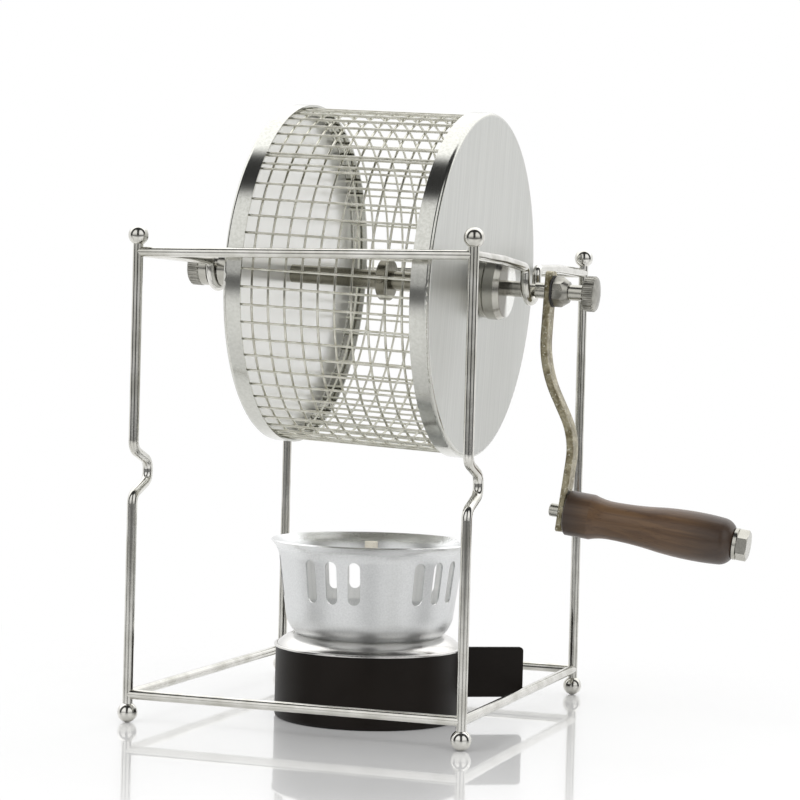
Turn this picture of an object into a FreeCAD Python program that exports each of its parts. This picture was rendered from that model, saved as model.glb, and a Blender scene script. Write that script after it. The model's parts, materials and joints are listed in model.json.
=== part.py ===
import FreeCAD, Part
import math
import os

import Sketcher
from FreeCAD import Placement, Rotation, Vector

# Driving sizes in millimetres and degrees.
# The origin is the centre of the burner's underside, on the table.
SIZES = {
    # Wire stand, with the place of its centre beside the burner
    "stand_centre_x": -9.3,
    "stand_centre_y": 19.4,
    "stand_width": 129.46,
    "stand_depth": 149.36,
    "stand_over_top_rails": 9.8,
    "leg_dia": 3.8,
    "rail_dia": 3.6,
    "ball_dia": 7.44,
    "bottom_rail_height": 10.4,
    "top_rails_over_axle": 6.16,
    "kink_top": 101.0,
    "kink_shoulder_top": 96.2,
    "kink_shoulder_bottom": 89.1,
    "kink_bottom": 83.8,
    "kink_depth": 12.4,
    "kink_bend": 4.4,
    # Saddles bent into the two top side rails, open upwards
    "right_saddle_bend": 7.8,
    "right_saddle_dip": 1.5,
    "saddle_dip_run": 30.0,
    "saddle_shoulder_bend": 2.4,
    "dip_bend": 60.0,
    "journal_clearance": 0.06,
    "groove_side_clearance": 0.6,
    # Axle, lower at the crank because its two journals differ
    "axle_height": 167.44,
    "axle_back": -2.5,
    "axle_tilt": 3.0,
    "axle_dia": 6.0,
    "right_journal_dia": 4.8,
    "left_journal_dia": 11.0,
    "axle_end_skin": 1.0,
    # Drum, measured along the axle from the middle of the stand
    "drum_middle": 6.6,
    "drum_length": 80.0,
    "cap_dia": 131.8,
    "cap_rim_length": 7.15,
    "cap_sheet": 0.8,
    "cap_corner": 1.6,
    "mesh_wire_dia": 0.9,
    "mesh_clearance": 0.3,
    "long_wire_count": 61,
    "hoop_pitch": 6.5,
    "seam_angle": 35.0,
    "seam_first_gap": 2.6,
    "seam_second_gap": 5.4,
    # Tube and collar inside the drum
    "tube_dia": 7.2,
    "collar_dia": 16.0,
    "collar_length": 4.1,
    "collar_edge": 0.4,
    "screw_head_dia": 3.4,
    "screw_head_height": 1.4,
    "screw_shank_dia": 2.0,
    # Hubs and knobs on the axle
    "left_hub_dia": 14.2,
    "left_flange_length": 3.2,
    "left_knob_dia": 14.6,
    "left_knob_length": 4.9,
    "hub_flange_dia": 23.6,
    "hub_flange_length": 2.4,
    "hub_ring_dia": 24.6,
    "hub_ring_straight": 4.3,
    "hub_ring_slope": 2.2,
    "hub_face_dia": 22.4,
    "hub_edge": 0.4,
    "right_knob_dia": 13.4,
    "right_knob_length": 4.3,
    "knob_dome": 0.9,
    "knob_edge": 0.5,
    "flute_dia": 0.9,
    "flute_count": 28,
    # Crank
    "axle_land": 3.97,
    "crank_thickness": 2.7,
    "crank_width": 8.4,
    "crank_edge": 0.9,
    "crank_end_spare": 7.6,
    "crank_end_corner": 3.4,
    "crank_radius": 82.6,
    "crank_bend_start": 28.5,
    "crank_bend_end": 54.2,
    "crank_offset": 11.9,
    "crank_upper_bend": 46.0,
    "crank_lower_bend": 29.5,
    "crank_washer_dia": 12.0,
    "crank_washer_length": 0.6,
    "nut_across": 10.0,
    "nut_length": 5.7,
    "nut_nose_length": 2.7,
    "nut_nose_dia": 8.0,
    "hex_chamfer": 0.7,
    "axle_neck": 6.2,
    # Grip, turning on a bolt that droops from the crank
    "grip_droop": 4.54,
    "bolt_dia": 5.0,
    "bolt_tail": 5.2,
    "bolt_tail_edge": 0.4,
    "grip_running_clearance": 0.08,
    "grip_gap": 0.4,
    "grip_end_gap": 0.3,
    "grip_length": 64.0,
    "grip_bead_dia": 17.0,
    "grip_bead_length": 9.6,
    "grip_neck_dia": 14.3,
    "grip_neck_at": 17.6,
    "grip_swell_start_dia": 16.9,
    "grip_swell_start": 36.2,
    "grip_swell_dia": 18.3,
    "grip_swell_at": 49.8,
    "grip_end_dia": 17.4,
    "grip_end_at": 59.4,
    "grip_nose_dia": 11.0,
    "grip_nose_round": 5.6,
    "grip_front_chamfer": 0.5,
    "handle_washer_dia": 11.8,
    "handle_washer_length": 1.2,
    "bolt_head_across": 10.0,
    "bolt_head_length": 4.0,
    # Burner pot, tray, wick and handle
    "pot_dia": 70.8,
    "pot_height": 27.0,
    "pot_wall": 1.0,
    "pot_foot_round": 1.5,
    "tray_sheet": 0.8,
    "tray_overhang": 0.7,
    "tray_lip_width": 1.1,
    "tray_lip_height": 0.9,
    "tray_lip_round": 0.5,
    "tray_groove": 0.4,
    "tray_shoulder_round": 9.5,
    "tray_stand_rise": 4.6,
    "tray_stand_margin": 0.7,
    "wick_dia": 5.0,
    "wick_top": 66.8,
    "wick_bottom": 4.0,
    "wick_tube_wall": 0.8,
    "wick_tube_top": 56.0,
    "wick_tube_bottom": 16.0,
    "plate_length": 25.1,
    "plate_thickness": 1.6,
    "plate_height": 19.2,
    "plate_drop": 0.4,
    "plate_corner": 1.5,
    "plate_angle": 30.0,
    # Slotted cup that stands on the tray
    "cup_wall": 0.8,
    "cup_floor_dia": 55.0,
    "cup_foot_dia": 63.8,
    "cup_foot_height": 7.5,
    "cup_foot_round": 11.4,
    "cup_neck_dia": 69.8,
    "cup_rim_dia": 76.4,
    "cup_lip_height": 6.4,
    "cup_lip_round": 10.7,
    "cup_lip_edge": 0.5,
    "cup_height": 35.9,
    "cup_hole_dia": 9.0,
    "slot_width": 4.6,
    "slot_height": 15.9,
    "slot_bottom": 14.0,
    "slot_pitch": 15.0,
    "slots_in_group": 3,
    "slot_groups": 5,
    "slot_turn": -5.2,
}

doc = FreeCAD.newDocument("bean_roaster")
sheet = doc.addObject("Spreadsheet::Sheet", "sizes")
for row, (alias, number) in enumerate(SIZES.items(), start=1):
    sheet.set(f"A{row}", alias)
    sheet.set(f"B{row}", str(number))
    sheet.setAlias(f"B{row}", alias)
doc.recompute()


class Size:
    """A length, angle or count: its formula over the sheet, with its value."""

    def __init__(self, formula, value):
        self.formula = formula
        self.value = value

    def __add__(self, other):
        other = as_size(other)
        return Size(f"({self.formula} + {other.formula})", self.value + other.value)

    def __sub__(self, other):
        other = as_size(other)
        return Size(f"({self.formula} - {other.formula})", self.value - other.value)

    def __mul__(self, other):
        other = as_size(other)
        return Size(f"({self.formula} * {other.formula})", self.value * other.value)

    def __truediv__(self, other):
        other = as_size(other)
        return Size(f"({self.formula} / {other.formula})", self.value / other.value)

    def __neg__(self):
        return Size(f"(0 - {self.formula})", -self.value)

    def __radd__(self, other):
        return as_size(other) + self

    def __rsub__(self, other):
        return as_size(other) - self

    def __rmul__(self, other):
        return as_size(other) * self


def as_size(number):
    """Turn a plain number into a Size, and leave a Size as it is."""
    if isinstance(number, Size):
        return number
    return Size(f"{number:.6f}", float(number))


def size(alias):
    """The size that the sheet holds under this alias."""
    return Size(f"sizes.{alias}", float(sheet.get(alias)))


def bind(piece, path, value):
    """Tie a property of a piece to a size's formula."""
    piece.setExpression(path, as_size(value).formula)


# Frames that the pieces are placed in
FLAT = Rotation()
ALONG_X = Rotation(Vector(0, 1, 0), 90)
ALONG_Y = Rotation(Vector(1, 0, 0), -90)
NOWHERE = (0, 0, 0)


def place(piece, base, rotation=FLAT, angle=None):
    """Put a piece at a base point, with its place and its turn tied to the sheet."""
    base = [as_size(part) for part in base]
    piece.Placement = Placement(Vector(*[part.value for part in base]), rotation)
    for name, part in zip("xyz", base):
        bind(piece, f"Placement.Base.{name}", part)
    if angle is not None:
        bind(piece, "Placement.Rotation.Angle", angle)


half_width = size("stand_width") / 2
half_depth = size("stand_depth") / 2
middle_x = size("stand_centre_x")
middle_y = size("stand_centre_y")
axle_y = middle_y + size("axle_back")
tilt = size("axle_tilt")
tilt_radians = math.radians(tilt.value)


def on_axle(piece):
    """Place a piece in the axle's frame: Z along the axle to the crank, X down, Y back."""
    turn = Rotation(Vector(0, 1, 0), 90 + tilt.value)
    place(piece, (middle_x, axle_y, size("axle_height")), turn, 90 + tilt)


def axle_point(down, back, along):
    """A point of the axle's frame in the stand's upright frame, as a vector."""
    turn = Rotation(Vector(0, 1, 0), 90 + tilt.value)
    start = Vector(middle_x.value, axle_y.value, size("axle_height").value)
    return start + turn.multVec(Vector(down, back, along))


def axle_height_over(x_from_middle):
    """The height of the axle's centre line at a distance from the stand's middle."""
    return size("axle_height").value - x_from_middle * math.tan(tilt_radians)


def draw(sketch, outline):
    """Draw a closed outline of (across, up, bend) points, every point and bend tied.

    A bend is the signed radius of the arc that arrives at the point, positive
    where it turns left, and None where a straight line arrives.
    """
    corners = [(as_size(item[0]), as_size(item[1])) for item in outline]
    bends = [item[2] if len(item) > 2 else None for item in outline]
    count = len(corners)
    starts = []
    ends = []
    for index in range(count):
        first = Vector(corners[index][0].value, corners[index][1].value, 0)
        target = (index + 1) % count
        last = Vector(corners[target][0].value, corners[target][1].value, 0)
        bend = bends[target]
        if bend is None:
            edge = sketch.addGeometry(Part.LineSegment(first, last), False)
            starts.append((edge, 1))
            ends.append((edge, 2))
            continue
        radius = abs(bend.value)
        left_turn = bend.value > 0
        chord = last.sub(first)
        sideways = Vector(-chord.y, chord.x, 0).normalize()
        reach = math.sqrt(max(radius ** 2 - (chord.Length / 2) ** 2, 0.0))
        centre = (first + last) * 0.5 + sideways * (reach if left_turn else -reach)
        low, high = (first, last) if left_turn else (last, first)
        from_angle = math.atan2(low.y - centre.y, low.x - centre.x)
        to_angle = math.atan2(high.y - centre.y, high.x - centre.x)
        if to_angle < from_angle:
            to_angle += 2 * math.pi
        circle = Part.Circle(centre, Vector(0, 0, 1), radius)
        edge = sketch.addGeometry(Part.ArcOfCircle(circle, from_angle, to_angle), False)
        starts.append((edge, 1 if left_turn else 2))
        ends.append((edge, 2 if left_turn else 1))
        rule = sketch.addConstraint(Sketcher.Constraint("Radius", edge, radius))
        bind(sketch, f"Constraints[{rule}]", bend if left_turn else -bend)
    for index in range(count):
        following = (index + 1) % count
        sketch.addConstraint(Sketcher.Constraint("Coincident", *ends[index], *starts[following]))
    for index in range(count):
        for kind, value in zip(("DistanceX", "DistanceY"), corners[index]):
            rule = Sketcher.Constraint(kind, -1, 1, *starts[index], value.value)
            number = sketch.addConstraint(rule)
            bind(sketch, f"Constraints[{number}]", value)


def sketch_on(body, role, name):
    """An empty sketch on one of the body's own origin planes."""
    sketch = body.newObject("Sketcher::SketchObject", name)
    plane = [item for item in body.Origin.OriginFeatures if item.Role == role][0]
    sketch.AttachmentSupport = (plane, "")
    sketch.MapMode = "FlatFace"
    return sketch


def turned(name, outline):
    """A body turned about its own Z axis from an outline of (radius, along) points."""
    body = doc.addObject("PartDesign::Body", name)
    sketch = sketch_on(body, "XZ_Plane", name + "_outline")
    draw(sketch, outline)
    turning = body.newObject("PartDesign::Revolution", name + "_turning")
    turning.Profile = sketch
    turning.ReferenceAxis = (sketch, ["V_Axis"])
    turning.Angle = 360
    body.Tip = turning
    sketch.Visibility = False
    return body


def ring(inner_dia, outer_dia, start, end, edge=None):
    """The outline of a plain ring or rod, with both outer edges chamfered if asked."""
    inner = as_size(inner_dia) / 2
    outer = as_size(outer_dia) / 2
    if edge is None:
        return [(inner, start), (outer, start), (outer, end), (inner, end)]
    return [
        (inner, start),
        (outer - edge, start),
        (outer, start + edge),
        (outer, end - edge),
        (outer - edge, end),
        (inner, end),
    ]


def rod(name, diameter, length, base, rotation=FLAT):
    """A straight round rod from its base point."""
    piece = doc.addObject("Part::Cylinder", name)
    bind(piece, "Radius", as_size(diameter) / 2)
    bind(piece, "Height", length)
    place(piece, base, rotation)
    return piece


def cut(name, base, *tools):
    """The base with each tool taken away in turn, under the name given."""
    result = base
    for index, tool in enumerate(tools):
        last = index == len(tools) - 1
        step = doc.addObject("Part::Cut", name if last else f"{name}_trim")
        step.Base = result
        step.Tool = tool
        result = step
    return result


def bent_wire(points, bends, diameter):
    """A round wire along straight runs joined by tangent arcs, as a solid."""
    path = bent_path(points, bends)
    section_circle = Part.Circle(points[0], points[1] - points[0], diameter / 2)
    section = Part.Wire([section_circle.toShape()])
    solid = path.makePipeShell([section], True, False)
    check_swept(solid, path, math.pi * diameter ** 2 / 4)
    return solid


def bent_path(points, bends):
    """A wire through the points, each inner corner rounded by its own bend radius."""
    edges = []
    run_start = points[0]
    for before, corner, after, radius in zip(points, points[1:], points[2:], bends):
        arriving = (corner - before).normalize()
        leaving = (after - corner).normalize()
        turn = arriving.getAngle(leaving)
        reach = radius * math.tan(turn / 2)
        arc_start = corner - arriving * reach
        arc_end = corner + leaving * reach
        inward = (leaving - arriving).normalize()
        centre = corner + inward * (radius / math.cos(turn / 2))
        arc_middle = centre - inward * radius
        if (arc_start - run_start).Length > 1e-4:
            edges.append(Part.LineSegment(run_start, arc_start).toShape())
        edges.append(Part.Arc(arc_start, arc_middle, arc_end).toShape())
        run_start = arc_end
    edges.append(Part.LineSegment(run_start, points[-1]).toShape())
    return Part.Wire(edges)


def check_swept(solid, path, area):
    """Stop if a swept solid's volume isn't its section times its length."""
    expected = area * path.Length
    if abs(solid.Volume - expected) > 0.02 * expected:
        raise ValueError(f"swept volume {solid.Volume:.1f}, expected {expected:.1f}")


def shaped(name, shape):
    """A piece whose shape is worked out here from the sheet's sizes."""
    piece = doc.addObject("Part::Feature", name)
    piece.Shape = shape
    return piece


nodes = {}


def node(piece):
    """Keep a finished piece under its own name."""
    piece.Label = piece.Name
    nodes[piece.Name] = piece
    return piece


# Stand: four legs with a ball at each end
top_rail_height = size("axle_height") + size("top_rails_over_axle")
ball_radius = size("ball_dia") / 2
leg_bottom = ball_radius
leg_top = top_rail_height + size("stand_over_top_rails") - ball_radius
leg_length = leg_top - leg_bottom
corners = {
    "front_left": (middle_x - half_width, middle_y - half_depth),
    "front_right": (middle_x + half_width, middle_y - half_depth),
    "back_left": (middle_x - half_width, middle_y + half_depth),
    "back_right": (middle_x + half_width, middle_y + half_depth),
}


def kinked_leg(name, x, y):
    """A front leg: straight but for one round kink that points to the back."""
    back = y.value + size("kink_depth").value
    points = [
        Vector(x.value, y.value, leg_bottom.value),
        Vector(x.value, y.value, size("kink_bottom").value),
        Vector(x.value, back, size("kink_shoulder_bottom").value),
        Vector(x.value, back, size("kink_shoulder_top").value),
        Vector(x.value, y.value, size("kink_top").value),
        Vector(x.value, y.value, leg_top.value),
    ]
    bends = [size("kink_bend").value] * 4
    return shaped(name, bent_wire(points, bends, size("leg_dia").value))


legs = {}
for corner, (x, y) in corners.items():
    leg_name = f"{corner}_leg"
    if corner.startswith("front"):
        legs[corner] = node(kinked_leg(leg_name, x, y))
    else:
        legs[corner] = node(rod(leg_name, size("leg_dia"), leg_length, (x, y, leg_bottom)))
    for end, height in (("foot", leg_bottom), ("top", leg_top)):
        ball = doc.addObject("Part::Sphere", f"{corner}_{end}_sphere")
        bind(ball, "Radius", ball_radius)
        place(ball, (x, y, height))
        node(cut(f"{corner}_{end}_ball", ball, legs[corner]))

# Stand: rails that butt against the legs
rails = {}
rail_heights = {"bottom": size("bottom_rail_height"), "top": top_rail_height}
for level, height in rail_heights.items():
    for side in ("front", "back"):
        x, y = corners[f"{side}_left"]
        blank = rod(
            f"{level}_{side}_blank", size("rail_dia"), size("stand_width"), (x, y, height), ALONG_X
        )
        rails[level, side] = node(
            cut(f"{level}_{side}_rail", blank, legs[f"{side}_left"], legs[f"{side}_right"])
        )


def side_tools(level, side):
    """The legs and cross rails that trim the ends of a side rail."""
    return [
        legs[f"front_{side}"],
        legs[f"back_{side}"],
        rails[level, "front"],
        rails[level, "back"],
    ]


for side in ("left", "right"):
    x, y = corners[f"front_{side}"]
    blank = rod(
        f"bottom_{side}_blank",
        size("rail_dia"),
        size("stand_depth"),
        (x, y, size("bottom_rail_height")),
        ALONG_Y,
    )
    node(cut(f"bottom_{side}_rail", blank, *side_tools("bottom", side)))


def saddle_wire(x_from_middle, journal_dia, bend, dip):
    """A top side rail with a round-bottomed saddle under the axle's journal."""
    rail_radius = size("rail_dia").value / 2
    seat = journal_dia.value / 2 + size("journal_clearance").value + rail_radius
    bottom = axle_height_over(x_from_middle) - seat
    x = middle_x.value + x_from_middle
    front = middle_y.value - half_depth.value
    back = middle_y.value + half_depth.value
    centre = axle_y.value
    run = size("saddle_dip_run").value
    top = top_rail_height.value
    shoulder = top - dip
    path = [
        (front, top),
        (centre - bend - run, top),
        (centre - bend, shoulder),
        (centre - bend, bottom),
        (centre + bend, bottom),
        (centre + bend, shoulder),
        (centre + bend + run, top),
        (back, top),
    ]
    shoulder_bend = size("saddle_shoulder_bend").value
    dip_bend = size("dip_bend").value
    bends = [dip_bend, shoulder_bend, bend, bend, shoulder_bend, dip_bend]
    if dip == 0:
        path = [path[0]] + path[2:6] + [path[7]]
        bends = bends[1:5]
    points = [Vector(x, y, z) for y, z in path]
    return bent_wire(points, bends, size("rail_dia").value)


left_saddle_bend = (
    size("left_journal_dia") / 2 + size("journal_clearance") + size("rail_dia") / 2
)
saddles = {
    "left": (-half_width.value, size("left_journal_dia"), left_saddle_bend.value, 0),
    "right": (
        half_width.value,
        size("right_journal_dia"),
        size("right_saddle_bend").value,
        size("right_saddle_dip").value,
    ),
}
for side, (x_from_middle, journal, bend, dip) in saddles.items():
    blank = shaped(f"top_{side}_blank", saddle_wire(x_from_middle, journal, bend, dip))
    node(cut(f"top_{side}_saddle_rail", blank, *side_tools("top", side)))

# Axle, with the groove of its right journal
drum_left = size("drum_middle") - size("drum_length") / 2
drum_right = size("drum_middle") + size("drum_length") / 2
groove_length = size("rail_dia") + size("groove_side_clearance") * 2
left_groove_start = -half_width - groove_length / 2
left_groove_end = -half_width + groove_length / 2
right_groove_start = half_width - groove_length / 2
right_groove_end = half_width + groove_length / 2
left_hub_end = left_groove_start - size("left_flange_length")
left_knob_end = left_hub_end - size("left_knob_length")
crank_start = right_groove_end + size("axle_land")
crank_end = crank_start + size("crank_thickness")
washer_end = crank_end + size("crank_washer_length")
nut_end = washer_end + size("nut_length")
right_knob_start = nut_end + size("axle_neck")
right_knob_end = right_knob_start + size("right_knob_length")
axle_start = left_knob_end + size("axle_end_skin")
axle_end = right_knob_end - size("axle_end_skin")
axle_radius = size("axle_dia") / 2
neck_radius = size("right_journal_dia") / 2
axle = turned(
    "axle",
    [
        (0, axle_start),
        (axle_radius, axle_start),
        (axle_radius, right_groove_start),
        (neck_radius, right_groove_start),
        (neck_radius, right_groove_end),
        (axle_radius, right_groove_end),
        (axle_radius, axle_end),
        (0, axle_end),
    ],
)
on_axle(node(axle))

# Drum: two shallow end caps with their rims turned inwards
cap_radius = size("cap_dia") / 2
cap_sheet = size("cap_sheet")
cap_corner = size("cap_corner")
inner_corner = cap_corner - cap_sheet


def cap_outline(face, inward):
    """The outline of a cap whose disc lies at face and whose rim runs inward (1 or -1)."""
    rim_end = face + size("cap_rim_length") * inward
    return [
        (axle_radius, face),
        (cap_radius - cap_corner, face),
        (cap_radius, face + cap_corner * inward, cap_corner * inward),
        (cap_radius, rim_end),
        (cap_radius - cap_sheet, rim_end),
        (cap_radius - cap_sheet, face + cap_corner * inward),
        (cap_radius - cap_corner, face + cap_sheet * inward, inner_corner * -inward),
        (axle_radius, face + cap_sheet * inward),
    ]


on_axle(node(turned("left_end_cap", cap_outline(drum_left, 1))))
on_axle(node(turned("right_end_cap", cap_outline(drum_right, -1))))

# Drum: square wire mesh, long wires outside and hoops inside
wire_radius = size("mesh_wire_dia") / 2
mesh_radius = cap_radius - cap_sheet - size("mesh_clearance") - wire_radius
hoop_radius = mesh_radius - size("mesh_wire_dia")
mesh_start = drum_left + cap_sheet
mesh_length = size("drum_length") - cap_sheet * 2


def long_wires():
    """The straight wires round the drum, and the two of the mesh's overlapping end."""
    seam = size("seam_angle").value
    first = math.degrees(size("seam_first_gap").value / mesh_radius.value)
    second = math.degrees(size("seam_second_gap").value / mesh_radius.value)
    count = round(size("long_wire_count").value)
    angles = [seam + 360 * index / count for index in range(count)]
    angles += [seam + first, seam + first + second]
    wires = []
    for angle in angles:
        up = math.sin(math.radians(angle)) * mesh_radius.value
        front = math.cos(math.radians(angle)) * mesh_radius.value
        start = Vector(-up, -front, mesh_start.value)
        wires.append(
            Part.makeCylinder(wire_radius.value, mesh_length.value, start, Vector(0, 0, 1))
        )
    return Part.makeCompound(wires)


def hoops():
    """The round wires inside the long ones, spread about the drum's middle."""
    pitch = size("hoop_pitch").value
    count = 2 * int((mesh_length.value / 2 - pitch / 2) / pitch) + 2
    first = size("drum_middle").value - (count - 1) * pitch / 2
    rings = []
    for index in range(count):
        centre = Vector(0, 0, first + index * pitch)
        rings.append(Part.makeTorus(hoop_radius.value, wire_radius.value, centre))
    return Part.makeCompound(rings)


on_axle(node(shaped("mesh_long_wires", long_wires())))
on_axle(node(shaped("mesh_hoops", hoops())))

# Spacer tube and collar between the caps
tube_start = drum_left + cap_sheet
tube_end = drum_right - cap_sheet
on_axle(
    node(turned("spacer_tube", ring(size("axle_dia"), size("tube_dia"), tube_start, tube_end)))
)
collar_start = size("drum_middle") - size("collar_length") / 2
collar_end = size("drum_middle") + size("collar_length") / 2
collar_blank = turned(
    "collar_blank",
    ring(size("tube_dia"), size("collar_dia"), collar_start, collar_end, size("collar_edge")),
)
on_axle(collar_blank)


def collar_screw():
    """A small round-headed screw, from the collar's front face in to the tube."""
    collar_radius = size("collar_dia").value / 2
    tube_radius = size("tube_dia").value / 2
    head_radius = size("screw_head_dia").value / 2
    head_height = size("screw_head_height").value
    middle = size("drum_middle").value
    seat = math.sqrt(collar_radius ** 2 - head_radius ** 2)
    front = Vector(0, -1, 0)
    shank_start = Vector(0, -tube_radius, middle)
    shank = Part.makeCylinder(
        size("screw_shank_dia").value / 2, seat - tube_radius + head_height / 2, shank_start, front
    )
    head = Part.makeCylinder(head_radius, head_height, Vector(0, -seat, middle), front)
    rim = [edge for edge in head.Edges if edge.CenterOfMass.y < -seat - head_height * 0.9]
    return head.makeFillet(head_height * 0.6, rim).fuse(shank).removeSplitter()


screw = shaped("collar_screw", collar_screw())
on_axle(node(screw))
collar = cut("inner_collar", collar_blank, screw)
node(collar)

# Left hub, with the groove that rides in the left saddle
left_hub_radius = size("left_hub_dia") / 2
left_journal_radius = size("left_journal_dia") / 2
hub_edge = size("hub_edge")
left_hub = turned(
    "left_hub",
    [
        (axle_radius, left_hub_end),
        (left_hub_radius, left_hub_end),
        (left_hub_radius, left_groove_start),
        (left_journal_radius, left_groove_start),
        (left_journal_radius, left_groove_end),
        (left_hub_radius, left_groove_end),
        (left_hub_radius, drum_left),
        (axle_radius, drum_left),
    ],
)
on_axle(node(left_hub))

# Right hub: a flange on the cap and a ring with a sloping face
flange_end = drum_right + size("hub_flange_length")
ring_straight_end = flange_end + size("hub_ring_straight")
ring_end = ring_straight_end + size("hub_ring_slope")
on_axle(
    node(
        turned(
            "right_hub_flange",
            ring(size("axle_dia"), size("hub_flange_dia"), drum_right, flange_end, hub_edge),
        )
    )
)
hub_ring_radius = size("hub_ring_dia") / 2
right_hub_ring = turned(
    "right_hub_ring",
    [
        (axle_radius, flange_end),
        (hub_ring_radius - hub_edge, flange_end),
        (hub_ring_radius, flange_end + hub_edge),
        (hub_ring_radius, ring_straight_end),
        (size("hub_face_dia") / 2, ring_end),
        (axle_radius, ring_end),
    ],
)
on_axle(node(right_hub_ring))


def fluted_knob(name, outline, radius):
    """A turned knob whose rim carries a ring of fine flutes."""
    body = turned(name, outline)
    sketch = sketch_on(body, "XY_Plane", name + "_flute")
    circle = Part.Circle(Vector(radius.value, 0, 0), Vector(0, 0, 1), 1)
    edge = sketch.addGeometry(circle, False)
    across = sketch.addConstraint(
        Sketcher.Constraint("Diameter", edge, size("flute_dia").value)
    )
    bind(sketch, f"Constraints[{across}]", size("flute_dia"))
    sketch.addConstraint(Sketcher.Constraint("PointOnObject", edge, 3, -1))
    out = sketch.addConstraint(Sketcher.Constraint("DistanceX", -1, 1, edge, 3, radius.value))
    bind(sketch, f"Constraints[{out}]", radius)
    flute = body.newObject("PartDesign::Pocket", name + "_flute_cut")
    flute.Profile = sketch
    flute.Type = "ThroughAll"
    flute.Midplane = True
    pattern = body.newObject("PartDesign::PolarPattern", name + "_flutes")
    pattern.Originals = [flute]
    axis = [item for item in body.Origin.OriginFeatures if item.Role == "Z_Axis"][0]
    pattern.Axis = (axis, [""])
    pattern.Angle = 360
    bind(pattern, "Occurrences", size("flute_count"))
    body.Tip = pattern
    sketch.Visibility = False
    return body


left_knob_radius = size("left_knob_dia") / 2
knob_edge = size("knob_edge")
left_knob = fluted_knob(
    "left_knob",
    [
        (0, left_knob_end),
        (left_knob_radius - knob_edge, left_knob_end),
        (left_knob_radius, left_knob_end + knob_edge),
        (left_knob_radius, left_hub_end - knob_edge),
        (left_knob_radius - knob_edge, left_hub_end),
        (axle_radius, left_hub_end),
        (axle_radius, axle_start),
        (0, axle_start),
    ],
    left_knob_radius,
)
on_axle(node(left_knob))

right_knob_radius = size("right_knob_dia") / 2
dome = size("knob_dome")
dome_foot = right_knob_radius - knob_edge
dome_radius = (dome_foot * dome_foot + dome * dome) / (dome * 2)
right_knob = fluted_knob(
    "right_knob",
    [
        (axle_radius, right_knob_start),
        (right_knob_radius - knob_edge, right_knob_start),
        (right_knob_radius, right_knob_start + knob_edge),
        (right_knob_radius, right_knob_end - knob_edge),
        (dome_foot, right_knob_end),
        (0, right_knob_end + dome, dome_radius),
        (0, axle_end),
        (axle_radius, axle_end),
    ],
    right_knob_radius,
)
on_axle(node(right_knob))

# Crank arm: an offset web between two round eyes
crank_middle = crank_start + size("crank_thickness") / 2
eye_middle = crank_middle + size("crank_offset")
droop = size("grip_droop")
droop_radians = math.radians(droop.value)
bolt_axis = Vector(math.sin(droop_radians), 0, math.cos(droop_radians))


def crank_arm():
    """The crank in the axle's frame: a bent flat bar, its lower end square to the bolt."""
    thickness = size("crank_thickness").value
    width = size("crank_width").value
    radius = size("crank_radius").value
    spare = size("crank_end_spare").value
    upper = crank_middle.value
    lower = eye_middle.value
    bend_end = size("crank_bend_end").value
    eye_centre = Vector(radius, 0, lower)
    lower_run = Vector(math.cos(droop_radians), 0, -math.sin(droop_radians))
    path = bent_path(
        [
            Vector(-spare, 0, upper),
            Vector(size("crank_bend_start").value, 0, upper),
            eye_centre - lower_run * ((radius - bend_end) / lower_run.x),
            eye_centre + lower_run * spare,
        ],
        [size("crank_upper_bend").value, size("crank_lower_bend").value],
    )
    section = rounded_oblong(width, thickness, size("crank_edge").value, upper)
    bar = path.makePipeShell([section], True, False)
    room = thickness * 2
    outline = Part.makeBox(
        path.BoundBox.XLength,
        width,
        path.BoundBox.ZLength + room * 2,
        Vector(-spare, -width / 2, upper - room),
    )
    upright = [edge for edge in outline.Edges if edge.BoundBox.ZLength > room]
    bar = bar.common(outline.makeFillet(size("crank_end_corner").value, upright))
    bore = Part.makeCylinder(
        axle_radius.value, room * 2, Vector(0, 0, upper - room), Vector(0, 0, 1)
    )
    bolt_hole = Part.makeCylinder(
        size("bolt_dia").value / 2, room * 2, eye_centre - bolt_axis * room, bolt_axis
    )
    return bar.cut(bore).cut(bolt_hole)


def rounded_oblong(across, deep, corner, along):
    """A rectangle with rounded corners, square to the start of the crank's path."""
    start = -size("crank_end_spare").value
    half_across = across / 2 - corner
    half_deep = deep / 2 - corner
    arcs = []
    for index, (side, face) in enumerate([(1, 1), (-1, 1), (-1, -1), (1, -1)]):
        centre = Vector(start, side * half_across, along + face * half_deep)
        points = []
        for step in range(3):
            angle = (index + step / 2) * math.pi / 2
            points.append(centre + Vector(0, math.cos(angle), math.sin(angle)) * corner)
        arcs.append(points)
    edges = []
    for points, following in zip(arcs, arcs[1:] + arcs[:1]):
        edges.append(Part.Arc(*points).toShape())
        edges.append(Part.LineSegment(points[2], following[0]).toShape())
    return Part.Wire(edges)


on_axle(node(shaped("crank_arm", crank_arm())))
on_axle(
    node(
        turned(
            "crank_washer",
            ring(size("axle_dia"), size("crank_washer_dia"), crank_end, washer_end),
        )
    )
)


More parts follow.
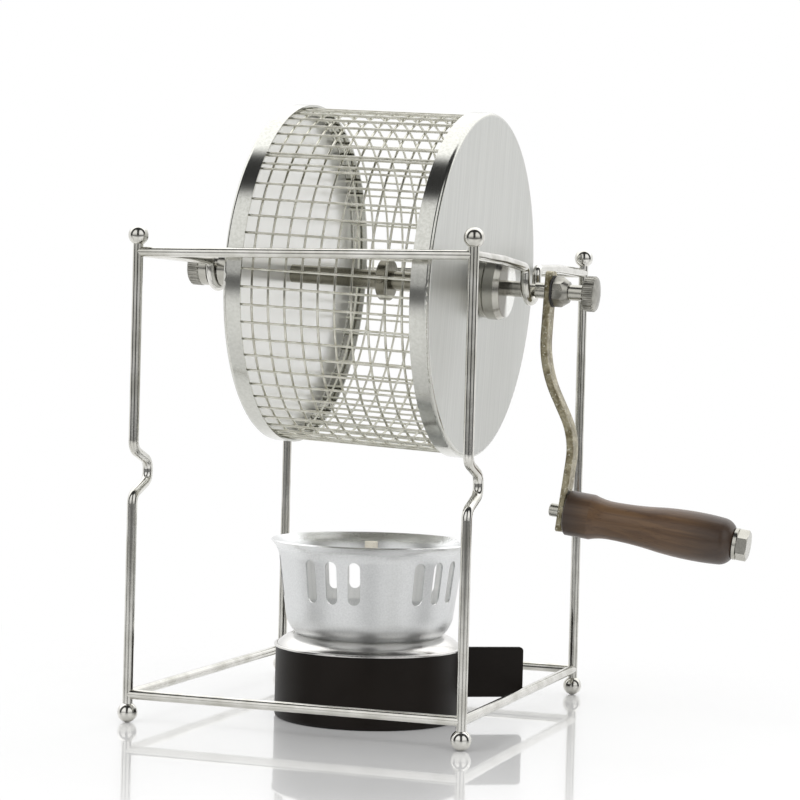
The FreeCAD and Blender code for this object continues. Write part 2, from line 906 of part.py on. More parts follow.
def hexagon(name, across, start, end, bore_dia, placer, nose=None):
    """A chamfered hexagon, on the Z axis of the frame it is placed in.

    A nose is the (length, diameter) of the cone that its far end tapers to.
    """
    corner_radius = across / 2 * (2 / math.sqrt(3))
    prism = doc.addObject("Part::Prism", name + "_prism")
    prism.Polygon = 6
    bind(prism, "Circumradius", corner_radius)
    bind(prism, "Height", end - start)
    placer(prism, start)
    chamfer = size("hex_chamfer")
    slope = chamfer * 0.5
    nose_length = slope
    nose_radius = corner_radius - chamfer
    if nose is not None:
        nose_length = nose[0]
        nose_radius = nose[1] / 2
    disc = turned(
        name + "_disc",
        [
            (as_size(bore_dia) / 2, start),
            (corner_radius - chamfer, start),
            (corner_radius, start + slope),
            (corner_radius, end - nose_length),
            (nose_radius, end),
            (as_size(bore_dia) / 2, end),
        ],
    )
    placer(disc, as_size(0))
    piece = doc.addObject("Part::Common", name)
    piece.Base = prism
    piece.Tool = disc
    return piece


def along_axle(piece, along):
    """Place a piece on the axle's centre line, at a distance along it."""
    turn = Rotation(Vector(0, 1, 0), 90 + tilt.value)
    spread_x = Size(f"cos({tilt.formula})", math.cos(tilt_radians)) * along
    drop = Size(f"sin({tilt.formula})", math.sin(tilt_radians)) * along
    base = (middle_x + spread_x, axle_y, size("axle_height") - drop)
    place(piece, base, turn, 90 + tilt)


nut_nose = (size("nut_nose_length"), size("nut_nose_dia"))
node(
    hexagon(
        "crank_nut",
        size("nut_across"),
        washer_end,
        nut_end,
        size("axle_dia"),
        along_axle,
        nut_nose,
    )
)

# Grip, bolt and washer, in the frame of the drooping bolt
eye_point = axle_point(size("crank_radius").value, 0, eye_middle.value)


def on_bolt(piece, along=as_size(0)):
    """Place a piece on the bolt's centre line, at a distance from the crank's eye."""
    turn = Rotation(Vector(0, 1, 0), 90 + tilt.value + droop.value)
    direction = turn.multVec(Vector(0, 0, 1))
    base = eye_point + direction * along.value
    piece.Placement = Placement(base, turn)
    bind(piece, "Placement.Rotation.Angle", 90 + tilt + droop)


grip_start = size("crank_thickness") / 2 + size("grip_gap")
grip_end = grip_start + size("grip_length")
washer_start = grip_end + size("grip_end_gap")
head_start = washer_start + size("handle_washer_length")
head_end = head_start + size("bolt_head_length")
bore_radius = size("bolt_dia") / 2 + size("grip_running_clearance")
bead_radius = size("grip_bead_dia") / 2
neck_grip_radius = size("grip_neck_dia") / 2
swell_start_radius = size("grip_swell_start_dia") / 2
swell_radius = size("grip_swell_dia") / 2
end_radius = size("grip_end_dia") / 2
bead_end = grip_start + size("grip_bead_length")
neck_at = grip_start + size("grip_neck_at")
swell_start_at = grip_start + size("grip_swell_start")
swell_at = grip_start + size("grip_swell_at")
end_at = grip_start + size("grip_end_at")


def level_arc(rise, run):
    """The radius of an arc that is level at one end and rises by this over this run."""
    return (run * run + rise * rise) / (rise * 2)


grip_chamfer = size("grip_front_chamfer")
wooden_grip = turned(
    "wooden_grip",
    [
        (bore_radius, grip_start),
        (bead_radius - grip_chamfer, grip_start),
        (bead_radius, grip_start + grip_chamfer),
        (bead_radius, bead_end),
        (neck_grip_radius, neck_at, -level_arc(bead_radius - neck_grip_radius, neck_at - bead_end)),
        (
            swell_start_radius,
            swell_start_at,
            -level_arc(swell_start_radius - neck_grip_radius, swell_start_at - neck_at),
        ),
        (
            swell_radius,
            swell_at,
            level_arc(swell_radius - swell_start_radius, swell_at - swell_start_at),
        ),
        (end_radius, end_at, level_arc(swell_radius - end_radius, end_at - swell_at)),
        (size("grip_nose_dia") / 2, grip_end, size("grip_nose_round")),
        (bore_radius, grip_end),
    ],
)
on_bolt(node(wooden_grip))
on_bolt(
    node(
        turned(
            "handle_washer",
            ring(size("bolt_dia"), size("handle_washer_dia"), washer_start, head_start),
        )
    )
)
shank = turned(
    "bolt_shank",
    ring(0, size("bolt_dia"), -size("bolt_tail"), head_start, size("bolt_tail_edge")),
)
on_bolt(shank)
head = hexagon("bolt_head", size("bolt_head_across"), head_start, head_end, 0, on_bolt)
handle_bolt = doc.addObject("Part::Fuse", "handle_bolt")
handle_bolt.Base = shank
handle_bolt.Tool = head
node(handle_bolt)

# Burner: pot, tray and wick, about the origin
pot_radius = size("pot_dia") / 2
pot_wall = size("pot_wall")
foot_round = size("pot_foot_round")
burner_pot = turned(
    "burner_pot",
    [
        (0, 0),
        (pot_radius - foot_round, 0),
        (pot_radius, foot_round, foot_round),
        (pot_radius, size("pot_height")),
        (pot_radius - pot_wall, size("pot_height")),
        (pot_radius - pot_wall, pot_wall),
        (0, pot_wall),
    ],
)
place(node(burner_pot), NOWHERE)

pot_top = size("pot_height")
pot_inner = pot_radius - pot_wall
tray_radius = pot_radius + size("tray_overhang")
tray_sheet = size("tray_sheet")
lip_inner = tray_radius - size("tray_lip_width")
lip_top = pot_top + size("tray_lip_height")
lip_round = size("tray_lip_round")
shoulder_round = size("tray_shoulder_round")
stand_radius = size("cup_floor_dia") / 2 + size("tray_stand_margin")
stand_top = pot_top + size("tray_stand_rise")
wick_radius = size("wick_dia") / 2
wick_tube_radius = wick_radius + size("wick_tube_wall")
burner_tray = turned(
    "burner_tray",
    [
        (wick_tube_radius, stand_top - tray_sheet),
        (stand_radius, stand_top - tray_sheet),
        (pot_inner, pot_top, -(shoulder_round - tray_sheet)),
        (tray_radius, pot_top),
        (tray_radius, lip_top - lip_round),
        (tray_radius - lip_round, lip_top, lip_round),
        (lip_inner, lip_top),
        (lip_inner, lip_top - size("tray_groove")),
        (stand_radius, stand_top, shoulder_round),
        (wick_tube_radius, stand_top),
    ],
)
place(node(burner_tray), NOWHERE)

wick_tube = turned(
    "wick_tube",
    ring(size("wick_dia"), wick_tube_radius * 2, size("wick_tube_bottom"), size("wick_tube_top")),
)
place(node(wick_tube), NOWHERE)
wick = turned("wick", ring(0, size("wick_dia"), size("wick_bottom"), size("wick_top")))
place(node(wick), NOWHERE)

# Burner handle: a flat upright plate, trimmed to the pot
plate = doc.addObject("PartDesign::Body", "handle_plate_blank")
plate_sketch = sketch_on(plate, "XZ_Plane", "handle_plate_outline")
plate_corner = size("plate_corner")
plate_reach = pot_radius + size("plate_length")
plate_top = pot_top - size("plate_drop")
plate_bottom = plate_top - size("plate_height")
draw(
    plate_sketch,
    [
        (pot_inner, plate_bottom),
        (plate_reach - plate_corner, plate_bottom),
        (plate_reach, plate_bottom + plate_corner, plate_corner),
        (plate_reach, plate_top - plate_corner),
        (plate_reach - plate_corner, plate_top, plate_corner),
        (pot_inner, plate_top),
    ],
)
plate_pad = plate.newObject("PartDesign::Pad", "handle_plate_pad")
plate_pad.Profile = plate_sketch
bind(plate_pad, "Length", size("plate_thickness"))
plate_pad.Midplane = True
plate.Tip = plate_pad
place(plate, NOWHERE, Rotation(Vector(0, 0, 1), size("plate_angle").value), size("plate_angle"))
node(cut("burner_handle", plate, rod("pot_trim", size("pot_dia"), pot_top, NOWHERE)))

# Cup with five groups of upright slots, standing on the tray
cup_foot = size("cup_foot_dia") / 2
cup_neck = size("cup_neck_dia") / 2
cup_rim = size("cup_rim_dia") / 2
cup_wall = size("cup_wall")
lip_edge = size("cup_lip_edge")
cup_bottom = stand_top
cup_foot_top = cup_bottom + size("cup_foot_height")
cup_top = cup_bottom + size("cup_height")
lip_start = cup_top - size("cup_lip_height")
foot_bend = size("cup_foot_round")
lip_bend = size("cup_lip_round")
cup_blank = turned(
    "cup_blank",
    [
        (size("cup_hole_dia") / 2, cup_bottom),
        (size("cup_floor_dia") / 2, cup_bottom),
        (cup_foot, cup_foot_top, foot_bend),
        (cup_neck, lip_start),
        (cup_rim, cup_top - lip_edge, -lip_bend),
        (cup_rim - lip_edge, cup_top),
        (cup_neck - cup_wall, lip_start, lip_bend + cup_wall),
        (cup_foot - cup_wall, cup_foot_top),
        (size("cup_floor_dia") / 2, cup_bottom + cup_wall, -(foot_bend - cup_wall)),
        (size("cup_hole_dia") / 2, cup_bottom + cup_wall),
    ],
)
place(cup_blank, NOWHERE)


def slot_tool(angle):
    """A radial tool for one upright slot with round ends, through the cup's wall."""
    width = size("slot_width").value
    low = cup_bottom.value + size("slot_bottom").value + width / 2
    high = low + size("slot_height").value - width
    inner = (cup_foot - cup_wall * 4).value
    outward = Vector(1, 0, 0)
    straight = Part.makeBox(cup_rim.value, width, high - low, Vector(inner, -width / 2, low))
    round_ends = [
        Part.makeCylinder(width / 2, cup_rim.value, Vector(inner, 0, level), outward)
        for level in (low, high)
    ]
    tool = straight.fuse(round_ends).removeSplitter()
    tool.rotate(Vector(0, 0, 0), Vector(0, 0, 1), angle)
    return tool


slots_in_group = round(size("slots_in_group").value)
slot_groups = round(size("slot_groups").value)
slots = []
for group in range(slot_groups):
    group_turn = size("slot_turn").value - 90 + group * 360 / slot_groups
    for number in range(slots_in_group):
        off_middle = number - (slots_in_group - 1) / 2
        slots.append(slot_tool(group_turn + off_middle * size("slot_pitch").value))
slot_tools = shaped("cup_slots", Part.makeCompound(slots))
node(cut("burner_cup", cup_blank, slot_tools))

doc.recompute()

for item in doc.Objects:
    if "Invalid" in item.State or "Error" in item.State:
        raise ValueError(f"{item.Name} did not recompute: {item.State}")
os.makedirs("parts", exist_ok=True)
for name, piece in nodes.items():
    shape = piece.Shape
    if shape.isNull() or not shape.isValid() or shape.Volume <= 0:
        raise ValueError(f"{name} has no valid solid")
for name, piece in nodes.items():
    piece.Shape.exportStep(f"parts/{name}.step")
    low, high = piece.Shape.BoundBox.ZMin, piece.Shape.BoundBox.ZMax
    print(f"{name}: {len(piece.Shape.Solids)} solids, {piece.Shape.Volume:.1f} mm3, z {low:.1f} {high:.1f}")
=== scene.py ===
import json
import math

import bpy
from mathutils import Matrix, Vector

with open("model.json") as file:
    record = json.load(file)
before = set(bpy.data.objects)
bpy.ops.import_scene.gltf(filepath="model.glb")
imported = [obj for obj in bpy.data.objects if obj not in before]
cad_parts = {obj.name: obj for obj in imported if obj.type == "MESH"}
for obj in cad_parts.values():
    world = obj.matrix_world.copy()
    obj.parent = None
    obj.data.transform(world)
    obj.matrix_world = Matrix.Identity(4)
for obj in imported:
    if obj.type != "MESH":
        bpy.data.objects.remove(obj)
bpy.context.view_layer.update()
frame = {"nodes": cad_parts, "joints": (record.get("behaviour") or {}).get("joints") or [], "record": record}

nodes = frame["nodes"]
MM = 0.001


# Maths on sockets, so that a pattern reads as one expression

class Field:
    """An output socket of a node tree, with arithmetic."""

    def __init__(self, tree, socket):
        self.tree = tree
        self.socket = socket

    def maths(self, operation, *others):
        """A maths node that starts from this field."""
        return self.tree.add("ShaderNodeMath", {"operation": operation}, self, *others)

    def __add__(self, other):
        return self.maths("ADD", other)

    __radd__ = __add__

    def __sub__(self, other):
        return self.maths("SUBTRACT", other)

    def __rsub__(self, other):
        return self.tree.add("ShaderNodeMath", {"operation": "SUBTRACT"}, other, self)

    def __mul__(self, other):
        return self.maths("MULTIPLY", other)

    __rmul__ = __mul__

    def __truediv__(self, other):
        return self.maths("DIVIDE", other)

    def __pow__(self, other):
        return self.maths("POWER", other)

    def absolute(self):
        return self.maths("ABSOLUTE")

    def sine(self):
        return self.maths("SINE")

    def between(self, low, high):
        """0 below low, 1 above high and a smooth step between them."""
        settings = {"interpolation_type": "SMOOTHSTEP"}
        return self.tree.add("ShaderNodeMapRange", settings, self, low, high, 0.0, 1.0)


class Tree:
    """A node tree that is filled by one method."""

    def __init__(self, tree):
        self.tree = tree

    def add(self, kind, settings=None, *values, out=0, **named):
        """Add a node, set it up, feed its sockets in order or by name, and give one output."""
        node = self.tree.nodes.new(kind)
        for key, value in (settings or {}).items():
            setattr(node, key, value)
        for index, value in enumerate(values):
            self.feed(node.inputs[index], value)
        for key, value in named.items():
            self.feed(node.inputs[key.replace("_", " ")], value)
        return Field(self, node.outputs[out])

    def feed(self, socket, value):
        """Link a field to a socket, or set the socket's own value."""
        if isinstance(value, Field):
            self.tree.links.new(value.socket, socket)
        else:
            socket.default_value = value

    def ray(self, kind):
        """1 for rays of one kind, such as Camera, and 0 for all others."""
        return self.add("ShaderNodeLightPath", out=f"Is {kind} Ray")

    def axis(self, place, name):
        """One coordinate of a place, by its name X, Y or Z."""
        return self.add("ShaderNodeSeparateXYZ", {}, place, out=name)

    def reach(self, place, direction):
        """How far a place lies along a direction."""
        dot = {"operation": "DOT_PRODUCT"}
        return self.add("ShaderNodeVectorMath", dot, place, direction, out="Value")


class Finish(Tree):
    """A material with one surface shader, painted from patterns in the object's metres."""

    # Numbers of the mix node's colour sockets, which share their names with others
    first_colour = 6
    second_colour = 7
    mixed_colour = 2

    def __init__(self, name):
        self.material = bpy.data.materials.new(name)
        self.material.use_nodes = True
        super().__init__(self.material.node_tree)
        self.shader = self.tree.nodes["Principled BSDF"]

    def place(self, scale=(1, 1, 1), turn=(0, 0, 0), start=(0, 0, 0)):
        """Object coordinates, moved so that start is the centre, turned and then scaled."""
        where = self.add("ShaderNodeTexCoord", out="Object")
        moved = self.add("ShaderNodeVectorMath", {"operation": "SUBTRACT"}, where, Vector(start))
        turned = self.add("ShaderNodeMapping", {"vector_type": "POINT"}, Vector=moved, Rotation=turn)
        return self.add("ShaderNodeVectorMath", {"operation": "MULTIPLY"}, turned, Vector(scale))

    def distance(self, place, first, second):
        """The distance from one axis, from the two coordinates that are square to it."""
        one = self.axis(place, first)
        other = self.axis(place, second)
        return (one * one + other * other) ** 0.5

    def noise(self, place, scale=1.0, detail=3.0, roughness=0.5, distortion=0.0):
        """Soft noise from 0 to 1."""
        return self.add(
            "ShaderNodeTexNoise", {}, Vector=place, Scale=scale, Detail=detail,
            Roughness=roughness, Distortion=distortion,
        )

    def mix(self, share, first, second):
        """A blend of two colours, where share is how much of the second it holds."""
        node = self.tree.nodes.new("ShaderNodeMix")
        node.data_type = "RGBA"
        self.feed(node.inputs["Factor"], share)
        self.feed(node.inputs[self.first_colour], self.colour(first))
        self.feed(node.inputs[self.second_colour], self.colour(second))
        return Field(self, node.outputs[self.mixed_colour])

    def colour(self, value):
        """A colour with its alpha, or a field as it is."""
        if isinstance(value, Field):
            return value
        return (*value, 1.0)

    def bump(self, height, distance, strength):
        """A bumped normal from a height field; distance is in metres."""
        return self.add("ShaderNodeBump", {}, Height=height, Distance=distance, Strength=strength)

    def surface(self, **sockets):
        """Feed the surface shader, by socket name."""
        for key, value in sockets.items():
            self.feed(self.shader.inputs[key.replace("_", " ")], value)
        return self.material


# The lines of the axle and of the grip's bolt, in metres, taken from the joints
joints = {joint["name"]: joint for joint in frame["joints"]}
axle_point = Vector(joints["drum_spin"]["pos_m"])
axle_line = Vector(joints["drum_spin"]["axis"])
bolt_point = Vector(joints["grip_spin"]["pos_m"])
bolt_line = Vector(joints["grip_spin"]["axis"])
axle_turn = (0, -math.asin(-axle_line.z), 0)
bolt_turn = (0, -math.asin(-bolt_line.z), 0)

# Sizes of the drum and the cup that the finishes follow, as in the CAD
drum_middle = 6.6 * MM
cap_inside = 39.2 * MM
cap_radius = 65.9 * MM
mesh_radius = 64.35 * MM
hoop_radius = 63.45 * MM
axle_radius = 3.0 * MM
hub_face = 55.5 * MM
cup_foot_top = 42.1 * MM
cup_wall_middle = 31.5 * MM
cup_wall_slope = 0.136
cup_lip = 64.1 * MM


def axle_place(paint):
    """The place with X along the axle, in metres."""
    return paint.place(turn=axle_turn, start=axle_point)


def polished_wire():
    """Polished steel wire of the stand: bright, with faint drawing lines and dull spots."""
    paint = Finish("polished_wire")
    place = paint.place()
    cloud = paint.noise(place, scale=90.0, detail=3.0)
    fine = paint.noise(place, scale=1400.0, detail=2.0)
    base = paint.mix(cloud.between(0.35, 0.7), (0.72, 0.71, 0.67), (0.54, 0.53, 0.48))
    return paint.surface(
        Base_Color=base,
        Metallic=1.0,
        Roughness=0.07 + 0.10 * cloud + 0.04 * fine,
        Normal=paint.bump(fine, 0.00002, 0.4),
    )


def brushed_cap():
    """Sheet steel of the end caps: upright brush lines outside, a smoother inside face painted near white as
    painted light, glossy rims.
    """
    paint = Finish("brushed_cap")
    place = axle_place(paint)
    off_middle = (paint.axis(place, "X") - drum_middle).absolute()
    inside = 1 - off_middle.between(cap_inside - 0.1 * MM, cap_inside + 0.3 * MM)
    rim = paint.distance(place, "Y", "Z").between(cap_radius - 1.5 * MM, cap_radius - 0.9 * MM)
    inner_face = inside * (1 - rim)
    lines = paint.noise(paint.place(scale=(900, 2600, 26), start=axle_point), detail=3.0, roughness=0.65)
    long_lines = paint.noise(paint.place(scale=(200, 700, 7), start=axle_point), detail=2.0)
    cloud = paint.noise(paint.place(), scale=24.0, detail=2.0)
    spots = paint.noise(paint.place(), scale=900.0, detail=3.0)
    mark = 0.6 * lines + 0.4 * long_lines
    outer = paint.mix(mark.between(0.25, 0.75), (0.57, 0.575, 0.55), (0.68, 0.685, 0.66))
    # The inner face colour is painted light: near white on steel, over a smoother, less metallic finish
    bright = paint.mix(spots, (0.96, 0.96, 0.94), (1.0, 1.0, 0.99))
    worn = paint.mix(spots.between(0.3, 0.7), (0.62, 0.62, 0.58), (0.55, 0.55, 0.51))
    rough = 0.28 + 0.12 * lines + 0.06 * cloud
    return paint.surface(
        Base_Color=paint.mix(rim, paint.mix(inner_face, outer, bright), worn),
        Metallic=1.0 - 0.45 * inner_face,
        Roughness=rough * (1 - rim) * (1 - 0.55 * inner_face) + rim * (0.12 + 0.06 * spots),
        Normal=paint.bump(mark * (1 - rim), 0.00003, 0.35),
    )


def mesh_wire(name, middle):
    """Drawn steel of the mesh, with the half of each wire that faces the axle painted near white as painted
    light.
    """
    paint = Finish(name)
    radius = paint.distance(axle_place(paint), "Y", "Z")
    cloud = paint.noise(paint.place(), scale=260.0, detail=2.0)
    inner = 1 - radius.between(middle - 0.2 * MM, middle + 0.1 * MM)
    outer_steel = paint.mix(cloud.between(0.3, 0.7), (0.68, 0.67, 0.60), (0.48, 0.47, 0.40))
    # Painted light: the half that faces the axle is coloured near white and made nearly non-metallic
    painted_light_inner_steel = paint.mix(cloud.between(0.3, 0.7), (0.97, 0.96, 0.88), (0.90, 0.89, 0.78))
    return paint.surface(
        Base_Color=paint.mix(inner, outer_steel, painted_light_inner_steel),
        Metallic=1.0 - 0.9 * inner,
        Roughness=0.12 + 0.10 * cloud + 0.18 * inner,
    )


def turned_steel():
    """Machined steel of the hubs and the axle: fine rings, painted highlight and painted shade on the hub's
    face, darker inside the drum.
    """
    paint = Finish("turned_steel")
    ring_waves = 14000.0  # radians in a metre
    place = axle_place(paint)
    along = paint.axis(place, "X")
    radius = paint.distance(place, "Y", "Z")
    rings = ((along + radius) * ring_waves).sine() * 0.5 + 0.5
    cloud = paint.noise(paint.place(), scale=160.0, detail=3.0)
    face = along.between(hub_face - 0.15 * MM, hub_face - 0.05 * MM)
    face = face * (1 - along.between(hub_face + 0.1 * MM, hub_face + 0.2 * MM))
    face = face * radius.between(axle_radius + 0.1 * MM, axle_radius + 0.3 * MM)
    # Painted highlight on the hub's face: near white towards the back and painted shade towards the front,
    # turning with the drum
    hub_face_painted_highlight = (paint.axis(place, "Y") / radius).between(-0.30, 0.35)
    plain = paint.mix(cloud, (0.36, 0.35, 0.31), (0.56, 0.55, 0.50))
    dull = paint.mix(cloud, (0.15, 0.14, 0.11), (0.28, 0.27, 0.22))
    lit = paint.mix(hub_face_painted_highlight, (0.20, 0.19, 0.16), (0.92, 0.92, 0.89))
    within = 1 - (along - drum_middle).absolute().between(cap_inside, cap_inside + 0.3 * MM)
    return paint.surface(
        Base_Color=paint.mix(face, paint.mix(within, plain, dull), lit),
        Metallic=1.0,
        Roughness=0.13 + 0.06 * rings + 0.08 * cloud,
        Normal=paint.bump(rings, 0.00001, 0.3),
    )


def knob_steel():
    """Darkened steel of the knobs and the nut."""
    paint = Finish("knob_steel")
    cloud = paint.noise(paint.place(), scale=240.0, detail=3.0)
    fine = paint.noise(paint.place(), scale=1500.0, detail=2.0)
    base = paint.mix(cloud.between(0.3, 0.75), (0.42, 0.41, 0.37), (0.22, 0.215, 0.19))
    return paint.surface(
        Base_Color=base,
        Metallic=1.0,
        Roughness=0.20 + 0.18 * cloud,
        Normal=paint.bump(fine, 0.00003, 0.5),
    )


def black_washer():
    """Blackened washer under the nut."""
    paint = Finish("black_washer")
    cloud = paint.noise(paint.place(), scale=500.0, detail=2.0)
    base = paint.mix(cloud, (0.010, 0.010, 0.011), (0.035, 0.033, 0.031))
    return paint.surface(Base_Color=base, Roughness=0.45 + 0.2 * cloud)


def cast_crank():
    """Cast and plated crank: olive bronze with a pitted, speckled skin."""
    paint = Finish("cast_crank")
    place = paint.place()
    ripple = paint.noise(place, scale=230.0, detail=4.0, roughness=0.6, distortion=0.4)
    pits = paint.noise(place, scale=850.0, detail=3.0, roughness=0.7)
    bronze = paint.mix(ripple.between(0.35, 0.65), (0.20, 0.17, 0.10), (0.44, 0.40, 0.28))
    base = paint.mix(pits.between(0.56, 0.70), bronze, (0.80, 0.78, 0.66))
    return paint.surface(
        Base_Color=base,
        Metallic=1.0,
        Roughness=0.22 + 0.22 * pits,
        Normal=paint.bump(ripple + 0.5 * pits, 0.0010, 0.9),
    )


def walnut():
    """Oiled walnut with its grain along the bolt, dark at both ends of the grip."""
    paint = Finish("walnut")
    along = paint.axis(paint.place(turn=bolt_turn, start=bolt_point), "X")
    grain_place = paint.place(scale=(26, 330, 330), turn=bolt_turn, start=bolt_point)
    grain = paint.noise(grain_place, detail=5.0, roughness=0.62, distortion=0.8)
    pore_place = paint.place(scale=(90, 2300, 2300), turn=bolt_turn, start=bolt_point)
    pores = paint.noise(pore_place, detail=2.0, roughness=0.6)
    cloud = paint.noise(paint.place(scale=(30, 60, 60), start=bolt_point), detail=2.0)
    warm = paint.mix(grain.between(0.32, 0.68), (0.070, 0.034, 0.013), (0.118, 0.062, 0.024))
    ends = 1 - along.between(2 * MM, 16 * MM) * (1 - along.between(40 * MM, 64 * MM))
    shaded = paint.mix(ends * 0.8, warm, (0.022, 0.012, 0.007))
    base = paint.mix(pores.between(0.58, 0.75) * 0.6, shaded, (0.025, 0.010, 0.005))
    return paint.surface(
        Base_Color=base,
        Roughness=0.34 + 0.16 * pores + 0.10 * cloud,
        Coat_Weight=0.3,
        Coat_Roughness=0.22,
        Normal=paint.bump(pores, 0.00008, 0.5),
    )


def pot_enamel():
    """Nearly black brown satin enamel of the burner's pot and handle."""
    paint = Finish("pot_enamel")
    cloud = paint.noise(paint.place(), scale=60.0, detail=3.0)
    grain = paint.noise(paint.place(), scale=1500.0, detail=2.0)
    base = paint.mix(cloud, (0.006, 0.0045, 0.0035), (0.012, 0.009, 0.007))
    return paint.surface(
        Base_Color=base,
        Specular_IOR_Level=0.15,
        Roughness=0.36 + 0.08 * cloud + 0.08 * grain,
        Normal=paint.bump(grain, 0.00004, 0.4),
    )


def tray_steel():
    """Bright pressed steel of the burner's tray."""
    paint = Finish("tray_steel")
    cloud = paint.noise(paint.place(), scale=70.0, detail=3.0)
    fine = paint.noise(paint.place(), scale=1200.0, detail=2.0)
    base = paint.mix(cloud, (0.58, 0.57, 0.55), (0.78, 0.77, 0.75))
    return paint.surface(
        Base_Color=base,
        Metallic=1.0,
        Roughness=0.14 + 0.14 * cloud,
        Normal=paint.bump(fine, 0.00002, 0.4),
    )


def wick_cotton():
    """Braided cream cotton of the wick."""
    paint = Finish("wick_cotton")
    strand_waves = 5200.0  # radians in a metre
    place = paint.place()
    across = paint.axis(place, "X")
    back = paint.axis(place, "Y")
    up = paint.axis(place, "Z")
    weave = ((across + up) * strand_waves).sine() * ((back - up) * strand_waves).sine()
    fuzz = paint.noise(place, scale=2200.0, detail=3.0)
    base = paint.mix(fuzz, (0.78, 0.72, 0.60), (0.92, 0.88, 0.78))
    return paint.surface(
        Base_Color=base,
        Roughness=0.9,
        Normal=paint.bump(weave + fuzz, 0.0002, 0.7),
    )


def cup_aluminium():
    """Spun aluminium of the cup: a satin, grainy skin outside, painted near white inside as painted light,
    and smoother at the lip.
    """
    paint = Finish("cup_aluminium")
    place = paint.place()
    up = paint.axis(place, "Z")
    wall = paint.distance(place, "X", "Y") - cup_wall_slope * (up - cup_foot_top)
    # Painted light: the inner wall, which lies in shade, is coloured near white and made nearly non-metallic
    inside = 1 - wall.between(cup_wall_middle - 0.1 * MM, cup_wall_middle + 0.1 * MM)
    inside = inside * up.between(cup_foot_top - 1 * MM, cup_foot_top)
    lip = up.between(cup_lip - 1 * MM, cup_lip + 1 * MM)
    grain = paint.noise(place, scale=1500.0, detail=3.0, roughness=0.75)
    cloud = paint.noise(paint.place(scale=(30, 30, 60)), detail=3.0)
    skin = paint.mix(grain.between(0.25, 0.75), (0.68, 0.69, 0.69), (0.80, 0.81, 0.81))
    return paint.surface(
        Base_Color=paint.mix(inside, skin, (1.0, 1.0, 0.98)),
        Metallic=1.0 - 0.95 * inside,
        Roughness=(0.26 + 0.14 * grain + 0.06 * cloud) * (1 - 0.35 * lip),
        Normal=paint.bump(grain, 0.00005, 0.5),
    )


finishes = {
    "stand_wire": polished_wire(),
    "cap_steel": brushed_cap(),
    "mesh_steel": mesh_wire("mesh_long_wire", mesh_radius),
    "machined_steel": turned_steel(),
    "knob_steel": knob_steel(),
    "black_washer": black_washer(),
    "crank_bronze": cast_crank(),
    "walnut": walnut(),
    "pot_enamel": pot_enamel(),
    "tray_steel": tray_steel(),
    "wick_cotton": wick_cotton(),
    "cup_aluminium": cup_aluminium(),
}
hoop_finish = mesh_wire("mesh_hoop_wire", hoop_radius)

for part in frame["record"]["subparts"]:
    finish = hoop_finish if part["node"] == "mesh_hoops" else finishes[part["material_slot"]]
    piece = nodes[part["node"]]
    piece.data.materials.clear()
    piece.data.materials.append(finish)


# Studio: a white glossy floor, a surround with two soft boxes in front, soft lamps and the camera

# The camera's place and turn, from a fit to the stand and the drum; it looks slightly down
camera_place = Vector((0.29499, -0.80854, 0.13815))
camera_azimuth = math.radians(19.412)
camera_drop = math.radians(1.144)
camera_roll = math.radians(1.483)

# Level directions from the object to the camera, and to the right in its picture
camera_side = Vector((math.sin(camera_azimuth), -math.cos(camera_azimuth), 0))
camera_right = Vector((math.cos(camera_azimuth), math.sin(camera_azimuth), 0))

# What all the lamps point at, near the object's middle
lamp_aim = Vector((0, 0, 0.12))


def studio_floor():
    """A wide white glossy floor, which fades to pure white and looks dark in mirrors from the front."""
    half = 3.0
    mesh = bpy.data.meshes.new("floor")
    corners = [(-half, -half, 0), (half, -half, 0), (half, half, 0), (-half, half, 0)]
    mesh.from_pydata(corners, [], [(0, 1, 2, 3)])
    floor = bpy.data.objects.new("floor", mesh)
    bpy.context.scene.collection.objects.link(floor)
    paint = Finish("floor_white")
    paint.surface(
        Base_Color=(0.82, 0.82, 0.82, 1),
        Roughness=0.25,
        Specular_IOR_Level=0.6,
        Coat_Weight=1.0,
        Coat_Roughness=0.03,
    )
    place = paint.place()
    away = paint.add("ShaderNodeVectorMath", {"operation": "LENGTH"}, place, out="Value")
    toward = paint.reach(place, camera_side)
    lit = Field(paint, paint.shader.outputs["BSDF"])
    white = paint.add("ShaderNodeEmission", {}, (1, 1, 1, 1), 1.0)
    dark = paint.add("ShaderNodeBsdfDiffuse", {}, (0.14, 0.14, 0.14, 1))
    white_share = paint.ray("Camera") * (0.12 + 0.88 * away.between(0.14, 0.30))
    dark_share = paint.ray("Glossy") * toward.between(0.30, 0.70)
    blend = paint.add("ShaderNodeMixShader", {}, white_share, lit, white)
    blend = paint.add("ShaderNodeMixShader", {}, dark_share, blend, dark)
    paint.feed(paint.tree.nodes["Material Output"].inputs["Surface"], blend)
    mesh.materials.append(paint.material)


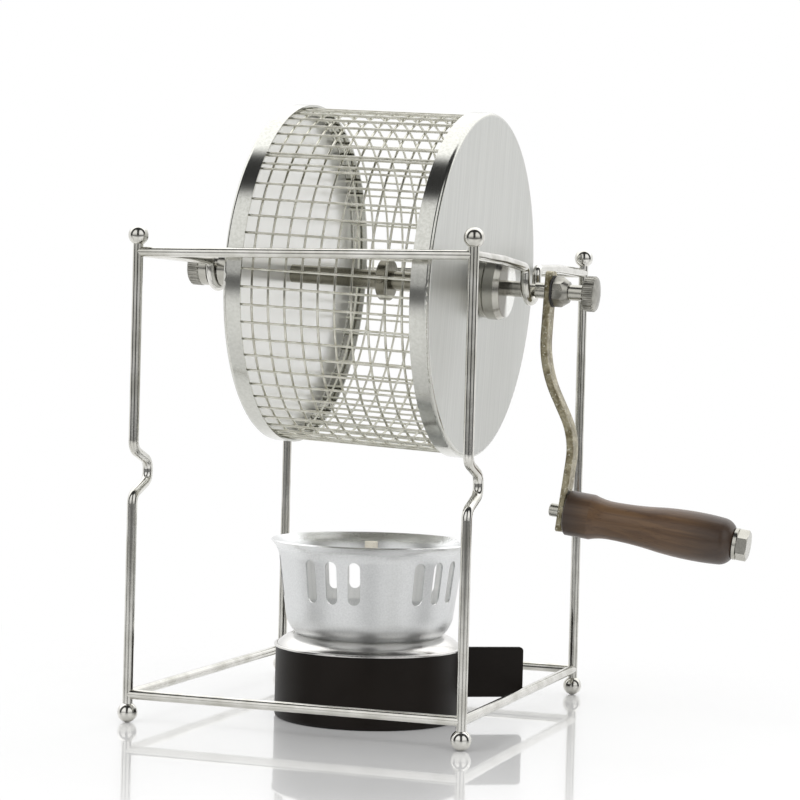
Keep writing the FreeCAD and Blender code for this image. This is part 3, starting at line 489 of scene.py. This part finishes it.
def studio_world():
    """A surround that is white to the camera; mirrors see it white behind, dark in front with two boxes."""
    world = bpy.data.worlds.new("studio")
    bpy.context.scene.world = world
    world.use_nodes = True
    tree = Tree(world.node_tree)
    seen = tree.ray("Camera")
    mirrored = tree.ray("Glossy") + tree.ray("Transmission")
    direction = tree.add("ShaderNodeTexCoord", out="Generated")
    toward = tree.reach(direction, camera_side)
    aside = tree.reach(direction, camera_right).absolute()
    height = tree.axis(direction, "Z")
    front = toward.between(-0.14, 0.02)
    boxes = aside.between(0.16, 0.26) * (1 - aside.between(0.88, 0.95)) * toward.between(0.36, 0.46)
    boxes = boxes * (0.55 + 0.45 * height.between(0.05, 0.3)) * (1 - height.between(0.74, 0.86))
    shown = (1 - front) * (1 + 0.7 * height.between(0.2, 0.55)) + front * (0.04 + 1.10 * boxes)
    strength = seen + mirrored * shown + (1 - seen - mirrored) * 0.88
    background = world.node_tree.nodes["Background"]
    tree.feed(background.inputs["Color"], (1, 1, 1, 1))
    tree.feed(background.inputs["Strength"], strength)


def lamp(name, place, width, power):
    """A square soft lamp that points at the object and doesn't show in its mirrors."""
    light = bpy.data.lights.new(name, "AREA")
    light.size = width
    light.energy = power
    holder = bpy.data.objects.new(name, light)
    bpy.context.scene.collection.objects.link(holder)
    holder.location = place
    holder.rotation_mode = "QUATERNION"
    holder.rotation_quaternion = (lamp_aim - Vector(place)).to_track_quat("-Z", "Y")
    holder.visible_glossy = False


def photo_camera():
    """The camera at the photograph's place."""
    focal_pixels = 2262.47
    frame_pixels = 800
    camera = bpy.data.cameras.new("photo_camera")
    camera.sensor_width = 36
    camera.sensor_fit = "HORIZONTAL"
    camera.lens = focal_pixels * camera.sensor_width / frame_pixels
    camera.clip_start = 0.01
    holder = bpy.data.objects.new("photo_camera", camera)
    bpy.context.scene.collection.objects.link(holder)
    ahead = -camera_side * math.cos(camera_drop) - Vector((0, 0, math.sin(camera_drop)))
    up = camera_right.cross(ahead)
    rolled_right = camera_right * math.cos(camera_roll) + up * math.sin(camera_roll)
    rolled_up = up * math.cos(camera_roll) - camera_right * math.sin(camera_roll)
    turn = Matrix((rolled_right, rolled_up, -ahead)).transposed()
    holder.matrix_world = Matrix.Translation(camera_place) @ turn.to_4x4()
    bpy.context.scene.camera = holder


studio_floor()
studio_world()
lamp("key_lamp", (-0.5, -0.9, 1.2), width=0.8, power=5.5)
lamp("fill_lamp", (0.9, -0.6, 0.7), width=0.7, power=3)
lamp("back_lamp", (0.2, 1.0, 0.9), width=0.8, power=4)
photo_camera()
bpy.context.scene.view_settings.view_transform = "Standard"
